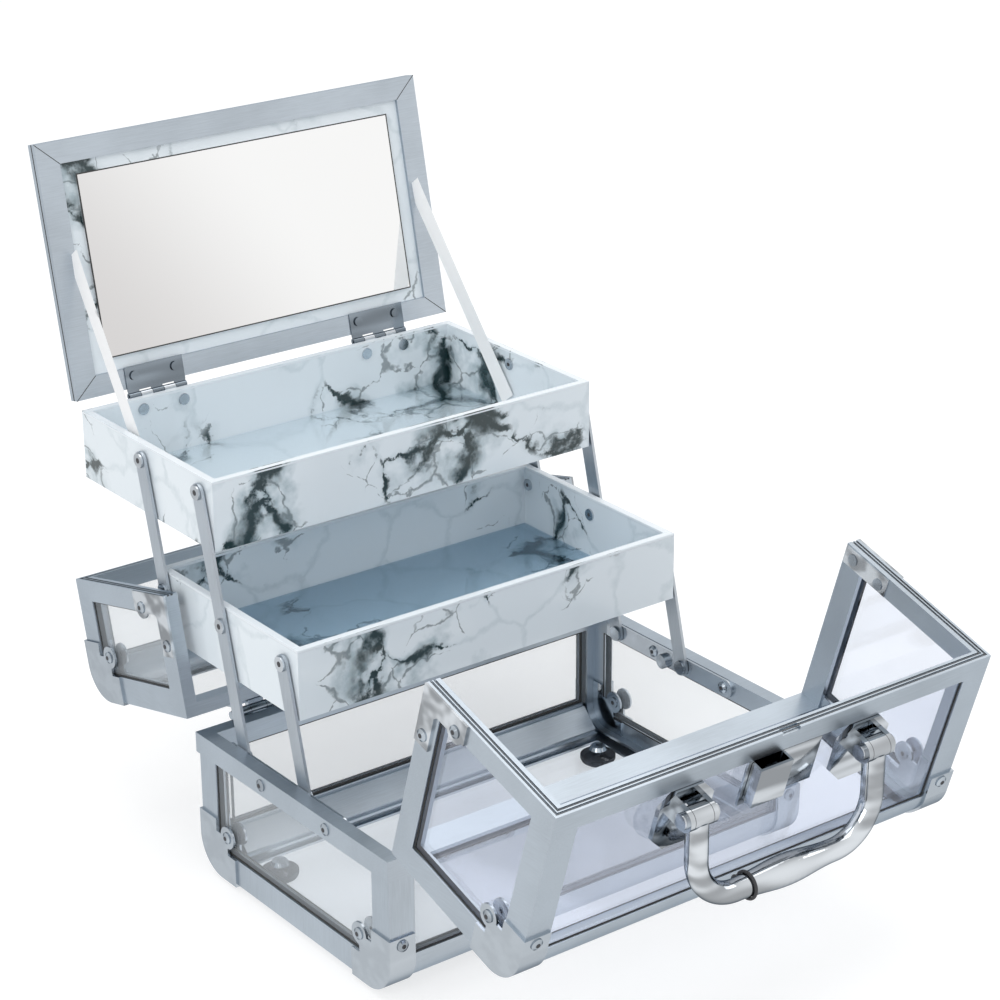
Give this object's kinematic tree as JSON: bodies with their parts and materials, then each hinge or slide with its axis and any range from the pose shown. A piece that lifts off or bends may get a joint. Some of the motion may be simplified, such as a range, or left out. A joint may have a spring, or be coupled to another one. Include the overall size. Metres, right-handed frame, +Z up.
{
  "type": "makeup storage case",
  "caption": "Clear cosmetics case with a carrying handle, opened by two flaps, with stepped trays on lifting arms and a mirror lid.",
  "frame": {"origin": "middle of the base's footprint, on the plane that the rubber feet stand on", "axes": "+X to the right seen from the front, +Y from the handle and front flap to the rear flap, +Z up"},
  "size_m": [0.2038, 0.3561, 0.2677],
  "materials": {
    "clear_acrylic": "clear gloss",
    "satin_aluminium": "satin anodised",
    "chrome": "bright plated",
    "marble_print": "white laminate with grey marble veins",
    "mirror": "silvered glass",
    "white_ribbon": "woven satin ribbon",
    "black_rubber": "matte"
  },
  "bodies": {
    "base": {"base_floor_panel": "clear_acrylic", "base_front_panel": "clear_acrylic", "base_rear_panel": "clear_acrylic", "base_side_panels": "clear_acrylic", "base_bottom_rails": "satin_aluminium", "base_corner_angles": "satin_aluminium", "base_rim": "satin_aluminium", "base_corner_caps": "chrome", "base_corner_brackets": "chrome", "base_rivets": "chrome", "rubber_feet": "black_rubber", "foot_screws": "chrome", "pivot_strips": "chrome", "base_pivot_studs": "chrome", "base_hinge_leaves": "chrome", "front_hinge_pins": "chrome"},
    "front_flap": {"front_flap_top_panel": "clear_acrylic", "front_flap_front_panel": "clear_acrylic", "front_flap_side_panels": "clear_acrylic", "front_flap_edge_rail": "satin_aluminium", "front_flap_side_rails": "satin_aluminium", "front_flap_seam_rail": "satin_aluminium", "front_flap_hinge_rail": "satin_aluminium", "front_flap_corner_caps": "chrome", "front_flap_catch_plates": "chrome", "front_flap_rivets": "chrome", "front_hinge_leaves": "chrome", "handle_mounts": "chrome", "handle_pins": "chrome", "latch_plate": "chrome"},
    "handle": {"handle": "chrome", "handle_tie": "black_rubber"},
    "latch_lever": {"latch_lever": "chrome"},
    "rear_pins": {"rear_hinge_pins": "chrome"},
    "rear_flap": {"rear_flap_top_panel": "clear_acrylic", "rear_flap_rear_panel": "clear_acrylic", "rear_flap_side_panels": "clear_acrylic", "rear_flap_edge_rail": "satin_aluminium", "rear_flap_side_rails": "satin_aluminium", "rear_flap_seam_rail": "satin_aluminium", "rear_flap_hinge_rail": "satin_aluminium", "rear_flap_corner_caps": "chrome", "rear_flap_catch_plates": "chrome", "rear_flap_rivets": "chrome", "rear_hinge_leaves": "chrome", "latch_keeper": "chrome"},
    "long_arms": {"long_arms": "satin_aluminium"},
    "front_arms": {"front_arms": "satin_aluminium"},
    "rear_arms": {"rear_arms": "satin_aluminium"},
    "lower_tray": {"lower_tray": "marble_print", "lower_tray_pivots": "chrome"},
    "upper_tray": {"upper_tray": "marble_print", "upper_tray_pivots": "chrome", "tray_hinge_leaves": "chrome", "lid_hinge_pins": "chrome", "lid_straps": "white_ribbon"},
    "mirror_lid": {"lid_frame": "satin_aluminium", "lid_board": "marble_print", "mirror_glass": "mirror", "lid_hinge_leaves": "chrome"}
  },
  "joints": [
    {"name": "front_flap_hinge", "type": "hinge", "parent": "base", "child": "front_flap", "pos_m": [0, -0.0682, 0.062], "axis": [-1, 0, 0], "range_deg": [0, 107.2]},
    {"name": "handle_pivot", "type": "hinge", "parent": "front_flap", "child": "handle", "pos_m": [0, -0.1639, 0.10199], "axis": [-1, 0, 0], "range_deg": [-12, 150]},
    {"name": "latch_lever_pivot", "type": "hinge", "parent": "front_flap", "child": "latch_lever", "pos_m": [0, -0.15651, 0.09569], "axis": [1, 0, 0], "range_deg": [0, 60]},
    {"name": "tray_lift", "type": "hinge", "parent": "base", "child": "long_arms", "pos_m": [0, 0.0415, 0.0562], "axis": [1, 0, 0], "range_deg": [0, 68.74]},
    {"name": "front_arm_pivot", "type": "hinge", "parent": "base", "child": "front_arms", "pos_m": [0, -0.0004, 0.0562], "axis": [1, 0, 0], "range_deg": [0, 68.74]},
    {"name": "lower_tray_pivot", "type": "hinge", "parent": "long_arms", "child": "lower_tray", "pos_m": [0, 0.05455, 0.10704], "axis": [1, 0, 0], "range_deg": [-68.74, 0]},
    {"name": "rear_arm_pivot", "type": "hinge", "parent": "lower_tray", "child": "rear_arms", "pos_m": [0, 0.09645, 0.10704], "axis": [1, 0, 0], "range_deg": [0, 68.74]},
    {"name": "upper_tray_pivot", "type": "hinge", "parent": "long_arms", "child": "upper_tray", "pos_m": [0, 0.06761, 0.15788], "axis": [1, 0, 0], "range_deg": [-68.74, 0]},
    {"name": "mirror_lid_hinge", "type": "hinge", "parent": "upper_tray", "child": "mirror_lid", "pos_m": [0, 0.15881, 0.16418], "axis": [1, 0, 0], "range_deg": [0, 102.2], "deforming": ["lid_straps"]},
    {"name": "rear_pin_turn", "type": "hinge", "parent": "base", "child": "rear_pins", "pos_m": [0, 0.069, 0.0597], "axis": [1, 0, 0], "range_deg": [0, 72.85]},
    {"name": "rear_flap_hinge", "type": "hinge", "parent": "rear_pins", "child": "rear_flap", "pos_m": [0, 0.069, 0.0597], "axis": [1, 0, 0], "range_deg": [0, 31.2]}
  ],
  "couplings": [
    {"joint": "front_arm_pivot", "follows": "tray_lift", "ratio": 1},
    {"joint": "lower_tray_pivot", "follows": "tray_lift", "ratio": -1},
    {"joint": "rear_arm_pivot", "follows": "tray_lift", "ratio": 1},
    {"joint": "upper_tray_pivot", "follows": "tray_lift", "ratio": -1},
    {"joint": "rear_pin_turn", "follows": "tray_lift", "ratio": 1.059}
  ]
}
